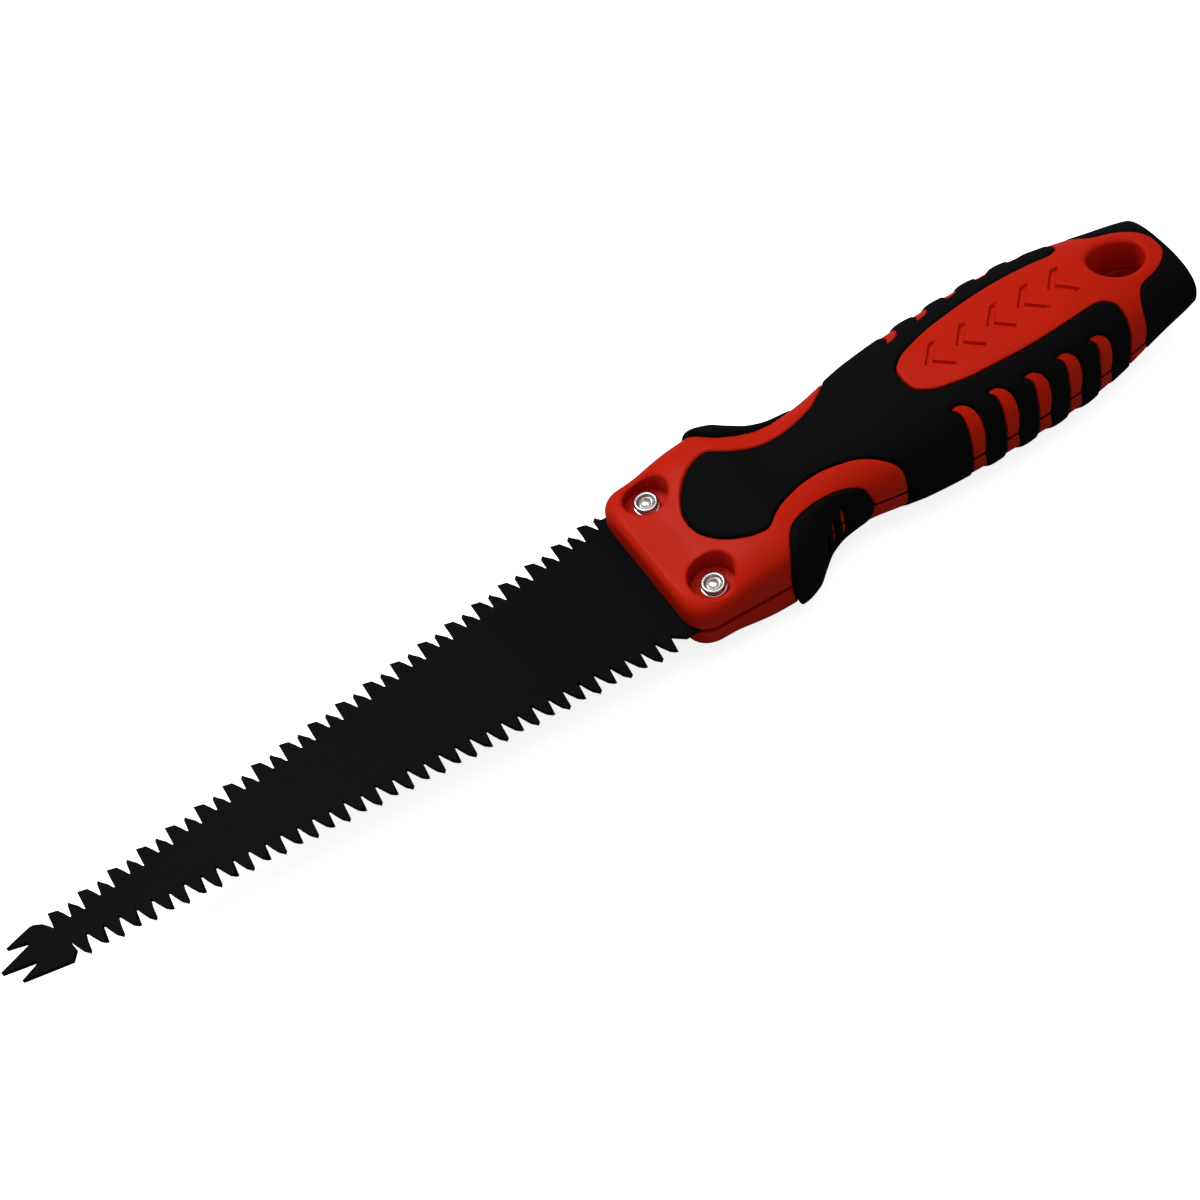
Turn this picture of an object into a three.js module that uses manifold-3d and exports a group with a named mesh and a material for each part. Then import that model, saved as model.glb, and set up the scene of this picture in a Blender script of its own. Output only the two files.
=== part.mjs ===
// Double-edged drywall saw: forked, double-toothed blade riveted into a two-shell
// handle core with a soft grip, two finger guards and a tail cap moulded over it.
// Units are millimetres. +X runs from the blade tip to the handle tail,
// +Y across the blade, +Z up through the blade's flat. The saw lies flat.
import * as THREE from 'three'
import Module from 'manifold-3d'
import { mergeVertices } from 'three/addons/utils/BufferGeometryUtils.js'

const wasm = await Module()
wasm.setup()

// ---- driving dimensions ----
const toothPair = 7.26 // two tooth pitches: 7 teeth per inch
const bladeThick = 1.3
const bladeSlope = 0.1007 // half taper of each toothed edge
const bladeHalfAtFirst = 0.906 * toothPair // half width at the first tooth
const firstTooth = -19.67 * toothPair // X of the first tooth, head front is X = 0
const handleLen = 140
const drawnLen = 140 // handle length that the tables of X positions are drawn for
const neckX = 48 // behind this X the handle stretches with its length
const flatHalf = 13.9 // half height between the two flat panels
const gripSkin = 1.9 // thickness of the soft layer
const layerGap = 0.25 // clearance between the soft layer and the core
const seamGap = 0.3 // clearance between the two core shells
const flatSkin = 1.1 // least soft layer left beside the flat panels
const slotGap = 0.3 // clearance round the tang
const frontGap = 0.3 // the teeth stop this far in front of the head
const headSlit = 1.2 // height of the slit between the shells along the head's sides
const headSlitEnd = 23 // X where that slit stops
const rivetX = 9.15
const rivetY = 13.36
const boreR = 5.2 // counterbore round each rivet head
const boreFloor = 3.4 // height of the counterbore floor above the mid plane
const shankR = 1.5
const shankGap = 0.2
const headR = 2.75
const washerR = 3
const washerThick = 0.7
const hangX = along(125.6)
const hangHalfX = 7
const hangHalfY = 5.6
const tangHalf = 18.2
const tangEnd = 34
const arcSteps = 28 // facets round the handle
const far = 60

// X of a table entry on a handle that is handleLen long
function along(x) {
  if (x <= neckX) return x
  return neckX + ((x - neckX) * (handleLen - neckX)) / (drawnLen - neckX)
}
const stretched = (points) => points.map(([x, ...rest]) => [along(x), ...rest])

// ---- curve through stations ----
function pchip(xs, ys) {
  const n = xs.length
  const h = []
  const d = []
  for (let i = 0; i < n - 1; i++) {
    h.push(xs[i + 1] - xs[i])
    d.push((ys[i + 1] - ys[i]) / h[i])
  }
  const m = new Array(n).fill(0)
  m[0] = d[0]
  m[n - 1] = d[n - 2]
  for (let i = 1; i < n - 1; i++) {
    if (d[i - 1] * d[i] > 0) {
      const w1 = 2 * h[i] + h[i - 1]
      const w2 = h[i] + 2 * h[i - 1]
      m[i] = (w1 + w2) / (w1 / d[i - 1] + w2 / d[i])
    }
  }
  return (x) => {
    let i = 0
    while (i < n - 2 && x > xs[i + 1]) i++
    const t = Math.min(Math.max((x - xs[i]) / h[i], 0), 1)
    const a = 2 * t ** 3 - 3 * t ** 2 + 1
    const b = t ** 3 - 2 * t ** 2 + t
    const c = -2 * t ** 3 + 3 * t ** 2
    const e = t ** 3 - t ** 2
    return a * ys[i] + b * h[i] * m[i] + c * ys[i + 1] + e * h[i] * m[i + 1]
  }
}

// X, half width, height above and below the mid plane, squareness of the section
const stations = stretched([
  [0, 20.3, 7.9, 7.9, 5], [9, 20.5, 8.3, 8.3, 5], [14, 20.8, 9.6, 9.6, 5],
  [20, 21.2, 11.1, 11.1, 4.6], [26, 21.4, 11.6, 11.6, 4.2], [30, 20.6, 11.1, 11.1, 3.8],
  [33.5, 18.2, 10.6, 10.6, 3.4], [37, 15.9, 10.5, 10.5, 3], [42, 14.8, 10.7, 10.7, 2.7],
  [48, 15, 11.1, 11.1, 2.5], [55, 16.2, 11.8, 11.8, 2.5], [63, 17.9, 12.7, 12.7, 2.4],
  [75, 18.7, 13.7, 13.7, 2.4], [88, 18.9, 14.4, 14.4, 2.4], [98, 18.7, 14.6, 14.6, 2.4],
  [108, 18.1, 14.2, 14.1, 2.4], [115, 17.3, 13.3, 12.6, 2.3], [122, 16.1, 11.9, 10.3, 2.2],
  [130, 14.7, 10.2, 7.8, 2.1], [136, 13.6, 8.4, 6.7, 2.2], [140, 12.7, 6.9, 6, 2.4],
])
const col = (k) => stations.map((s) => s[k])
const halfW = pchip(col(0), col(1))
const halfH = pchip(col(0), col(2))
const lowH = pchip(col(0), col(3))
const power = pchip(col(0), col(4))

// rounded corner at the front of the head and at the tail
function ease(x, r) {
  if (x >= r) return 0
  return r - Math.sqrt(r * r - (r - x) ** 2)
}
function section(x, grow) {
  const tail = handleLen - x
  const w = halfW(x) - ease(x, 5.8) - ease(tail, 2) + grow
  const edge = ease(x, 2) + ease(tail, 1) - grow
  return [w, halfH(x) - edge, lowH(x) - edge, power(x)]
}

// closed loft over the listed X positions; grow(x, angle) is added to the section
function loft(xs, size) {
  const pos = []
  const idx = []
  for (const x of xs) {
    for (let k = 0; k < arcSteps; k++) {
      const a = (k / arcSteps) * Math.PI * 2
      const [w, top, bottom, n] = size(x, a)
      const c = Math.cos(a)
      const s = Math.sin(a)
      const r = (Math.abs(c) ** n + Math.abs(s) ** n) ** (-1 / n)
      pos.push(x, w * r * c, (s < 0 ? bottom : top) * r * s)
    }
  }
  const rings = xs.length
  for (let i = 0; i < rings - 1; i++) {
    for (let k = 0; k < arcSteps; k++) {
      const k2 = (k + 1) % arcSteps
      const p = i * arcSteps + k
      const q = i * arcSteps + k2
      idx.push(p, q, p + arcSteps, q, q + arcSteps, p + arcSteps)
    }
  }
  const ends = [[0, xs[0]], [(rings - 1) * arcSteps, xs[rings - 1]]]
  ends.forEach(([base, x], side) => {
    const centre = pos.length / 3
    pos.push(x, 0, 0)
    for (let k = 0; k < arcSteps; k++) {
      const k2 = (k + 1) % arcSteps
      if (side === 0) idx.push(centre, base + k2, base + k)
      else idx.push(centre, base + k, base + k2)
    }
  })
  const geo = new THREE.BufferGeometry()
  geo.setAttribute('position', new THREE.Float32BufferAttribute(pos, 3))
  geo.setIndex(idx)
  return geo
}

// ---- solids ----
function solid(geo) {
  const g = geo.clone()
  g.deleteAttribute('normal')
  g.deleteAttribute('uv')
  const m = mergeVertices(g, 1e-5)
  const vertProperties = new Float32Array(m.attributes.position.array)
  const triVerts = new Uint32Array(m.index.array)
  return new wasm.Manifold(new wasm.Mesh({ numProp: 3, vertProperties, triVerts }))
}
function toMesh(man, name, material) {
  const out = man.getMesh()
  const geo = new THREE.BufferGeometry()
  geo.setAttribute('position', new THREE.Float32BufferAttribute(out.vertProperties, 3))
  geo.setIndex(new THREE.Uint32BufferAttribute(out.triVerts, 1))
  geo.computeVertexNormals()
  const mesh = new THREE.Mesh(geo, material)
  mesh.name = name
  return mesh
}
function box(x0, x1, y0, y1, z0, z1) {
  const g = new THREE.BoxGeometry(x1 - x0, y1 - y0, z1 - z0)
  g.translate((x0 + x1) / 2, (y0 + y1) / 2, (z0 + z1) / 2)
  return solid(g)
}
function cylinder(x, y, r, z0, z1, steps = 28) {
  const g = new THREE.CylinderGeometry(r, r, z1 - z0, steps)
  g.rotateX(Math.PI / 2)
  g.translate(x, y, (z0 + z1) / 2)
  return solid(g)
}
// plan outline [[x, y], ...] extruded along Z
function planPrism(points, z0, z1) {
  const shape = new THREE.Shape(points.map(([x, y]) => new THREE.Vector2(x, y)))
  const g = new THREE.ExtrudeGeometry(shape, { depth: z1 - z0, bevelEnabled: false })
  g.translate(0, 0, z0)
  return solid(g)
}
// side outline [[x, z], ...] extruded along Y
function sidePrism(points, y0, y1) {
  const shape = new THREE.Shape(points.map(([x, z]) => new THREE.Vector2(x, z)))
  const g = new THREE.ExtrudeGeometry(shape, { depth: y1 - y0, bevelEnabled: false })
  g.rotateX(Math.PI / 2)
  g.translate(0, y1, 0)
  return solid(g)
}
// closed outline of a half outline and its mirror image in Y
function mirrored(half) {
  const other = half.slice().reverse().map(([x, y]) => [x, -y])
  return half.concat(other).filter((p, i, all) => {
    const q = all[(i + 1) % all.length]
    return Math.hypot(p[0] - q[0], p[1] - q[1]) > 0.02
  })
}
// the same outline moved outwards by grow
function offset(points, grow) {
  const n = points.length
  let area = 0
  points.forEach(([x, y], i) => {
    const [x2, y2] = points[(i + 1) % n]
    area += x * y2 - x2 * y
  })
  const turn = Math.sign(area) * grow
  return points.map(([x, y], i) => {
    const [ax, ay] = points[(i + n - 1) % n]
    const [bx, by] = points[(i + 1) % n]
    const inLen = Math.hypot(x - ax, y - ay)
    const outLen = Math.hypot(bx - x, by - y)
    const nx = (y - ay) / inLen + (by - y) / outLen
    const ny = (ax - x) / inLen + (x - bx) / outLen
    const len = Math.hypot(nx, ny)
    const reach = turn / Math.max(len / 2, 0.5)
    return [x + (nx / len) * reach, y + (ny / len) * reach]
  })
}
const ellipse = (x, a, b, steps) => {
  const pts = []
  for (let i = 0; i < steps; i++) {
    const t = (i / steps) * Math.PI * 2
    pts.push([x + a * Math.cos(t), b * Math.sin(t)])
  }
  return pts
}

// ---- blade ----
function bladeOutline() {
  const P = toothPair
  const lineY = (x) => bladeHalfAtFirst + bladeSlope * (x - firstTooth)
  const step = 0.995 * P
  const tip = firstTooth
  const upper = [
    [tip - 1.85 * P, 0.02 * P], [tip - 0.84 * P, 0.33 * P], [tip - 0.81 * P, 0.42 * P],
    [tip - 1.44 * P, 0.62 * P], [tip - 0.6 * P, 0.84 * P], [tip - 0.25 * P, 0.69 * P],
    [tip - 0.03 * P, 0.38 * P],
  ]
  for (let i = 0; i < 20; i++) {
    const x = firstTooth + i * step
    const at = (u, depth) => [x + u * P, lineY(x + u * P) - depth * P]
    upper.push(at(0, 0))
    upper.push(at(0.29, 0.12))
    upper.push(at(0.54, 0.57))
    upper.push(at(0.57, 0.07))
    upper.push(at(0.72, 0.2))
    if (i < 19) upper.push(at(0.97, 0.64))
    else upper.push(at(0.8, 0.35))
  }
  const lower = [
    [tip - 1.85 * P, -0.02 * P], [tip - 0.84 * P, -0.26 * P], [tip - 0.82 * P, -0.33 * P],
    [tip - 1.44 * P, -0.57 * P], [tip + 0.02 * P, -0.88 * P], [tip + 0.25 * P, -0.6 * P],
    [tip + 0.2 * P, -0.27 * P],
  ]
  for (let i = 0; i < 19; i++) {
    const x = firstTooth + 0.61 * P + i * step
    const at = (u, depth) => [x + u * P, depth * P - lineY(x + u * P)]
    lower.push(at(-0.17, 0.12))
    lower.push(at(0, 0.02))
    lower.push(at(0.07, 0.68))
    lower.push(at(0.3, 0.22))
    lower.push(at(0.51, 0.1))
    lower.push(at(0.57, 0.64))
  }
  const shoulder = -1.6
  const root = [
    [0.6, tangHalf], [tangEnd - 10, tangHalf], [tangEnd, 9],
    [tangEnd, -9], [tangEnd - 10, -tangHalf], [shoulder, -tangHalf],
  ]
  return upper.concat(root, lower.reverse())
}
const bladeHoleR = shankR + shankGap
let blade = planPrism(bladeOutline().reverse(), -bladeThick / 2, bladeThick / 2)
for (const side of [1, -1]) {
  const beside = [side * tangHalf, side * far].sort((a, b) => a - b)
  blade = blade.subtract(box(-frontGap, far, beside[0], beside[1], -bladeThick, bladeThick))
  blade = blade.subtract(cylinder(rivetX, side * rivetY, bladeHoleR, -far, far))
}

// ---- handle body ----
const bodyX = [
  0, 0.5, 1.9, 3.6, 5.8, 10, 14, 20, 24, 28, 31, 33.5, 36.5,
  42, 48, 56, 65, 75, 88, 98, 108, 115, 122, 130, 136.5, 138, 139.5, 140,
].map(along)
const body = solid(loft(bodyX, (x) => section(x, 0)))
  .intersect(box(-1, handleLen + 1, -far, far, -flatHalf, flatHalf))
const endWall = 3
const endStep = 0.05 // length of the last ring of the inner layer
const innerX = bodyX.filter((x) => x < handleLen - endWall)
// the handle's inner layer, shrunk from its outside and kept under the flats
function innerLayer(shrink) {
  const spare = gripSkin - shrink
  const top = flatHalf - flatSkin + spare
  const xs = innerX.concat([innerX[innerX.length - 1] + spare + endStep])
  return solid(loft(xs, (x) => section(x, -shrink)))
    .intersect(box(-1, handleLen, -far, far, -top, top))
}
const inner = innerLayer(gripSkin)

// half outlines seen from above: the front of the soft grip, and the red panel behind it
const padFront = [
  [12.1, 0], [12.6, 3.3], [14.4, 6.8], [16.8, 9.5], [19.9, 11.7], [23, 12.7], [24.9, 12.8],
  [27.4, 10.7], [30, 9.1], [33, 7.9], [38.6, 6.9], [43, 7.1], [46.8, 8], [49.9, 9.2],
  [52.4, 10.8], [54.6, 12.6], [56.1, 14.2], [56.8, 15.4], [56.9, 16.6],
]
const redPanel = [
  [116.3, 17.1], [117.4, 15.7], [117.8, 13.7], [117.6, 11.6], [116.9, 10.4], [115.5, 9.3],
  [113.5, 8.8], [110, 9], [103.8, 9.5], [97.5, 9.7], [91.3, 9.5], [85, 8.9], [80, 8.3],
  [73.1, 6.5], [70.3, 4.9], [68.8, 3.2], [68.3, 0],
]
const gripHalf = stretched(padFront.concat([[56.9, far], [116.3, far]], redPanel))
const bulgeStart = along(69.5)
const bulgeEnd = along(113.5)
const crescentX = [74.2, 83, 91.6, 100.1, 108.8].map(along)
const crescentTop = [11.5, 11.4, 10.9, 10.7, 10]
const crescentStep = (crescentX[4] - crescentX[0]) / 4
const crescentInner = 10.5 // how far in the crescent windows reach
const bulgeHigh = 0.3 // how far the ribs between the crescents stand out
function bulge(x) {
  if (x < bulgeStart || x > bulgeEnd) return 0
  const t = (x - crescentX[0] - 0.5) / crescentStep
  return bulgeHigh * Math.sin(Math.PI * t) ** 2
}
const gripRegion = (grow) => planPrism(offset(mirrored(gripHalf), grow), -far, far)
// crescent windows through the side panels: the edge of the upper half, each point's X
// from the middle of the crescent and its share of the way down to the mid plane
const crescentEdge = [
  [-1.5, 1], [-1.1, 0.5], [-0.6, 0.27], [-0.9, 0.14], [-1.4, 0.03],
  [0.4, 0.03], [2, 0.14], [2.7, 0.3], [2.5, 0.6], [1.6, 1],
]
function crescent(i, grow) {
  const top = crescentTop[i]
  const upper = crescentEdge.map(([dx, t]) => [crescentX[i] + dx, top * (1 - t) ** 0.85])
  const lower = upper.slice(1, -1).reverse().map(([x, z]) => [x, -z])
  return sidePrism(offset(upper.concat(lower), grow), -far, far)
}
function crescents(grow) {
  let all = crescent(0, grow)
  for (let i = 1; i < crescentX.length; i++) all = all.add(crescent(i, grow))
  const reach = crescentInner - grow
  return all.subtract(box(0, handleLen, -reach, reach, -far, far))
}
const windows = crescents(0)

const gripXs = bodyX.filter((x) => x < bulgeStart)
for (let x = bulgeStart; x < bulgeEnd; x += crescentStep / 4) gripXs.push(x)
for (const x of bodyX.filter((v) => v > bulgeEnd)) gripXs.push(x)
const gripBody = solid(loft(gripXs, (x, a) => {
  const [w, top, bottom, n] = section(x, 0)
  return [w + bulge(x) * Math.cos(a) ** 2, top, bottom, n]
})).intersect(box(-1, handleLen + 1, -far, far, -flatHalf, flatHalf))
const innerGap = innerLayer(gripSkin - layerGap)
const grip = gripBody.subtract(innerGap).intersect(gripRegion(0)).subtract(windows)

// finger guards on both sides of the neck
const guardProud = 1.1 // how far the front of each guard stands out
const guardFade = 50
const guardHalf = stretched([
  [23.6, 21], [24.2, 20.7], [24.9, 20.1], [26.1, 18.3], [27.7, 16.1], [29.9, 14.4],
  [32.4, 13.2], [35.5, 12.4], [38.6, 12], [41.8, 12], [44.3, 12.5], [46.4, 13.2],
  [47.7, 13.9], [48.3, 14.6], [49.2, 15.1], [49.2, far], [23.6, far],
])
function guardRegion(side, grow) {
  return planPrism(offset(guardHalf.map(([x, y]) => [x, side * y]), grow), -far, far)
}
const guardX = [22, 24.2, 27, 30, 33, 36, 39, 43, guardFade]
const guardBody = solid(loft(guardX, (x) => {
  const [w, top, bottom, n] = section(x, 0)
  const out = guardProud * Math.min(Math.max((guardFade - x) / 14, 0), 1)
  return [w + out, top + out * 0.3, bottom + out * 0.3, n]
}))
const slits = [35.3, 38, 41.1].map((x) => box(x - 0.6, x + 0.6, -far, far, -3, 3))
function guard(side) {
  let g = guardBody.subtract(innerGap).intersect(guardRegion(side, 0))
  for (const s of slits) g = g.subtract(s)
  return g
}

// tail cap: wraps the end and both sides of the hang hole
const capHalf = stretched([
  [150, far], [121.3, far], [121.3, 16.2], [121.8, 15.6], [122.2, 14.8], [122.8, 12.9],
  [124.1, 10.6], [125.6, 9.1], [127.5, 8.4], [130, 7.7], [132.5, 6.6], [135, 4.8],
  [136.7, 2.6], [137.4, 0],
])
function capRegion(grow) {
  return planPrism(offset(mirrored(capHalf), grow), -far, far)
}
const cap = body.subtract(innerGap).intersect(capRegion(0))

// ---- core shells ----
let softAll = gripRegion(layerGap).add(guardRegion(1, layerGap)).add(guardRegion(-1, layerGap))
softAll = softAll.add(capRegion(layerGap))
// the red seen through the crescents stands a little below the soft layer
const padSunk = 0.2
const sunk = solid(loft(innerX, (x) => section(x, -padSunk)))
const pads = crescents(-layerGap).intersect(sunk)
let core = body.subtract(softAll).add(inner).add(pads)
core = core.subtract(planPrism(ellipse(hangX, hangHalfX, hangHalfY, 28), -far, far))
core = core.subtract(box(-3, headSlitEnd, -far, far, -headSlit / 2, headSlit / 2))
const slot = box(-3, tangEnd + slotGap, -tangHalf - slotGap, tangHalf + slotGap,
  -bladeThick / 2 - slotGap, bladeThick / 2 + slotGap)
core = core.subtract(slot)
for (const side of [1, -1]) {
  core = core.subtract(cylinder(rivetX, side * rivetY, bladeHoleR, -far, far))
  core = core.subtract(cylinder(rivetX, side * rivetY, boreR, boreFloor, far))
  core = core.subtract(cylinder(rivetX, side * rivetY, boreR, -far, -boreFloor))
}
const pegX = [52, 85, 112].map(along)
let shellTop = core.intersect(box(-1, handleLen, -far, far, seamGap / 2, far))
let shellBottom = core.intersect(box(-1, handleLen, -far, far, -far, -seamGap / 2))
for (const x of pegX) {
  shellBottom = shellBottom.add(cylinder(x, 0, 2.5, -2, 4, 24))
  shellTop = shellTop.subtract(cylinder(x, 0, 2.7, -1, 4.6, 24))
}

// ---- rivets and washers ----
function rivet(y) {
  const low = -boreFloor - layerGap
  const high = boreFloor + washerThick + 2 * 0.05
  const pts = [
    [0, low - 1.5], [1.6, low - 1.4], [2.7, low - 0.9], [3.2, low - 0.3], [3.2, low],
    [shankR, low], [shankR, high], [headR - 0.3, high], [headR, high + 0.55],
    [headR - 0.05, high + 1.1], [headR - 0.55, high + 1.35], [headR - 1.05, high + 1.1],
    [headR - 1.3, high + 0.55], [0.9, high + 0.9], [0, high + 1.05],
  ]
  const g = new THREE.LatheGeometry(pts.map(([r, z]) => new THREE.Vector2(r, z)), 24)
  g.rotateX(Math.PI / 2)
  g.translate(rivetX, y, 0)
  return solid(g)
}
function washer(y) {
  const z0 = boreFloor + 0.05
  const ring = cylinder(rivetX, y, washerR, z0, z0 + washerThick, 28)
  return ring.subtract(cylinder(rivetX, y, shankR + 0.1, z0 - 1, z0 + 2, 28))
}

// ---- assembly ----
const red = (name) => new THREE.MeshStandardMaterial({ color: 0xd22a14, roughness: 0.45, name })
const soft = (name) => new THREE.MeshStandardMaterial({ color: 0x101011, roughness: 0.9, name })
const steel = (name) => new THREE.MeshStandardMaterial({
  color: 0xd8dade, roughness: 0.2, metalness: 1, name,
})
const coated = new THREE.MeshStandardMaterial({
  color: 0x141418, roughness: 0.5, metalness: 0.4, name: 'coated_steel',
})
const group = new THREE.Group()
group.name = 'drywall_saw'
group.add(toMesh(blade, 'blade', coated))
group.add(toMesh(shellTop, 'core_upper_shell', red('red_core_upper')))
group.add(toMesh(shellBottom, 'core_lower_shell', red('red_core_lower')))
group.add(toMesh(grip, 'soft_grip', soft('grip_rubber')))
group.add(toMesh(guard(-1), 'finger_guard_near', soft('guard_near_rubber')))
group.add(toMesh(guard(1), 'finger_guard_far', soft('guard_far_rubber')))
group.add(toMesh(cap, 'tail_cap', soft('cap_rubber')))
group.add(toMesh(rivet(-rivetY), 'rivet_near', steel('rivet_near_steel')))
group.add(toMesh(rivet(rivetY), 'rivet_far', steel('rivet_far_steel')))
group.add(toMesh(washer(-rivetY), 'washer_near', steel('washer_near_steel')))
group.add(toMesh(washer(rivetY), 'washer_far', steel('washer_far_steel')))

// origin at the middle of the underside of the bounding box
const bounds = new THREE.Box3().setFromObject(group)
const mid = bounds.getCenter(new THREE.Vector3())
for (const mesh of group.children) mesh.geometry.translate(-mid.x, -mid.y, -bounds.min.z)
export default group
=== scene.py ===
import math

import bmesh
import bpy
import numpy as np
from mathutils import Matrix, Vector


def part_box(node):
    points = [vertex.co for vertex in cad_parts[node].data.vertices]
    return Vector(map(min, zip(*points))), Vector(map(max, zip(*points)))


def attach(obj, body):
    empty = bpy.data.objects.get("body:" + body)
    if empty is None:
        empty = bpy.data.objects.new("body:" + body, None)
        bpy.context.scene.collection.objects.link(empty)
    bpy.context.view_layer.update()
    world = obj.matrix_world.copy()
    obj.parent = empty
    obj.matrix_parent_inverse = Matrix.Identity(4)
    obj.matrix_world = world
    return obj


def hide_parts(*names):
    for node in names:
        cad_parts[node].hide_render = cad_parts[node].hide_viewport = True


bl_info = {
    "name": "Drywall saw",
    "version": (1, 0, 0),
    "blender": (4, 5, 0),
    "location": "View3D > Sidebar > Saw",
    "description": "Builds a double-edged drywall saw with a red core and a soft black grip",
    "category": "Add Mesh",
}

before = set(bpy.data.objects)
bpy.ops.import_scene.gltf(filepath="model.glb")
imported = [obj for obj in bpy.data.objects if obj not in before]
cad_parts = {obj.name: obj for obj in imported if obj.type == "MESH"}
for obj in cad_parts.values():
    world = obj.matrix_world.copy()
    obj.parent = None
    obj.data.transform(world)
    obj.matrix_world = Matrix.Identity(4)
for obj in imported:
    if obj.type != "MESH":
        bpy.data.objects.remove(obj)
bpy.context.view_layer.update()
MM = 0.001

# Places that come from the frame: the head's front face, the blade's mid plane
# and the line of the rivets. Everything else is in millimetres from these.
SHELL_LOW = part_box("core_upper_shell")[0]
BLADE_LOW, BLADE_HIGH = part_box("blade")
RIVET_LOW, RIVET_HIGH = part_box("rivet_far")
HEAD_X = SHELL_LOW.x / MM
MID_Z = (BLADE_LOW.z + BLADE_HIGH.z) / 2 / MM
BLADE_THICK = (BLADE_HIGH.z - BLADE_LOW.z) / MM
RIVET_X = (RIVET_LOW.x + RIVET_HIGH.x) / 2 / MM - HEAD_X
RIVET_Y = (RIVET_LOW.y + RIVET_HIGH.y) / 2 / MM
HANDLE_LENGTH = 140.0
TAIL_DOME = 1.5  # how far the middle of the end face stands beyond its rim
DOME_START = 130.0
FLAT_HALF = MID_Z  # the flat panels lie at the bottom and the top of the box
HEAD_ROLL, HEAD_FLAT_ROLL = 5.8, 2.0  # rounding of the head's front, at its sides and flats
TAIL_ROLL, TAIL_FLAT_ROLL = 1.0, 0.8

# the cuts in the core
BORE_R = 5.2  # counterbore round each rivet
BORE_FLOOR = 3.4  # height of its floor over the mid plane
SLOT_END, SLOT_HALF_WIDTH = 34.3, 18.5  # the blade's slot, just wider than its tang
SLOT_GAP = 0.3
HEAD_SLIT = 1.4  # height of the slit between the shells along the head's sides
HEAD_SLIT_END = 23.0
SEAM_GAP = 0.2  # half of the gap between the shells behind the head
CORE_END = 137.6
HANG_X = 125.6
UPPER_RIM, LOWER_RIM = 1.4, 3.5  # rounding of the hang hole's two rims
CHEVRONS = [74.0 + 8.2 * i for i in range(5)]
MARK_DEPTH, MARK_SLOPE = 0.8, 0.3

# rounding of the edges, and how deep the red lies in the windows and the slits
RED_EDGE, BORE_EDGE, SEAM_EDGE = 0.45, 0.6, 0.5
WINDOW_DEPTH, SLIT_DEPTH = 0.15, 0.3
UNDER_SOFT = 0.25  # from the soft layer's inner face down to the red below it


# -------- settings
class SawBladeSettings(bpy.types.PropertyGroup):
    tooth_pair: bpy.props.FloatProperty(
        name="Tooth pair", description="Length of a tall and a short tooth",
        default=7.26 * MM, subtype="DISTANCE")
    slope: bpy.props.FloatProperty(
        name="Taper", description="Rise of each edge along the blade", default=0.1007,
        subtype="FACTOR")
    bevel: bpy.props.FloatProperty(
        name="Ground bevel", description="Width ground off each cutting face",
        default=0.55 * MM, subtype="DISTANCE")
    tooth_set: bpy.props.FloatProperty(
        name="Set", description="Sideways bend of the tooth tips",
        default=0.12 * MM, subtype="DISTANCE")


class SawHandleSettings(bpy.types.PropertyGroup):
    cell: bpy.props.FloatProperty(
        name="Cell", description="Size of the surface's cells", default=0.55 * MM,
        subtype="DISTANCE")
    skin: bpy.props.FloatProperty(
        name="Soft layer", description="Thickness of the soft layer", default=1.75 * MM,
        subtype="DISTANCE")
    shadow_gap: bpy.props.FloatProperty(
        name="Shadow gap", description="Half of the line between red and black",
        default=0.08 * MM, subtype="DISTANCE")
    proud: bpy.props.FloatProperty(
        name="Proud", description="How far the soft layer stands over the red",
        default=0.15 * MM, subtype="DISTANCE")
    bulge: bpy.props.FloatProperty(
        name="Rib bulge", description="Rise of the ribs between the windows",
        default=0.28 * MM, subtype="DISTANCE")
    hole_half_x: bpy.props.FloatProperty(
        name="Hang hole length", description="Half length of the hang hole",
        default=7.0 * MM, subtype="DISTANCE")
    hole_half_y: bpy.props.FloatProperty(
        name="Hang hole width", description="Half width of the hang hole",
        default=5.6 * MM, subtype="DISTANCE")


class SawColours(bpy.types.PropertyGroup):
    red: bpy.props.StringProperty(
        name="Core red", description="sRGB hex of the red plastic", default="C2200A")
    black: bpy.props.StringProperty(
        name="Soft black", description="sRGB hex of the elastomer", default="090909")
    coating: bpy.props.StringProperty(
        name="Blade coating", description="sRGB hex of the blade's coating", default="050508")
    plating: bpy.props.StringProperty(
        name="Rivet plating", description="sRGB hex of the rivets' plating", default="C4C2C2")


# -------- curves
def curve_through(table, column=1):
    """A smooth curve that keeps rising or falling between the table's rows."""
    xs = np.array([row[0] for row in table], float)
    ys = np.array([row[column] for row in table], float)
    gap = np.diff(xs)
    rise = np.diff(ys) / gap
    slope = np.zeros(len(xs))
    slope[0], slope[-1] = rise[0], rise[-1]
    for i in range(1, len(xs) - 1):
        if rise[i - 1] * rise[i] > 0:
            before = 2 * gap[i] + gap[i - 1]
            after = gap[i] + 2 * gap[i - 1]
            slope[i] = (before + after) / (before / rise[i - 1] + after / rise[i])

    def value(x):
        x = np.asarray(x, float)
        i = np.clip(np.searchsorted(xs, x, side="right") - 1, 0, len(xs) - 2)
        t = np.clip((x - xs[i]) / gap[i], 0, 1)
        a = 2 * t**3 - 3 * t**2 + 1
        b = t**3 - 2 * t**2 + t
        return (a * ys[i] + b * gap[i] * slope[i]
                + (1 - a) * ys[i + 1] + (t**3 - t**2) * gap[i] * slope[i + 1])

    return value


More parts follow.
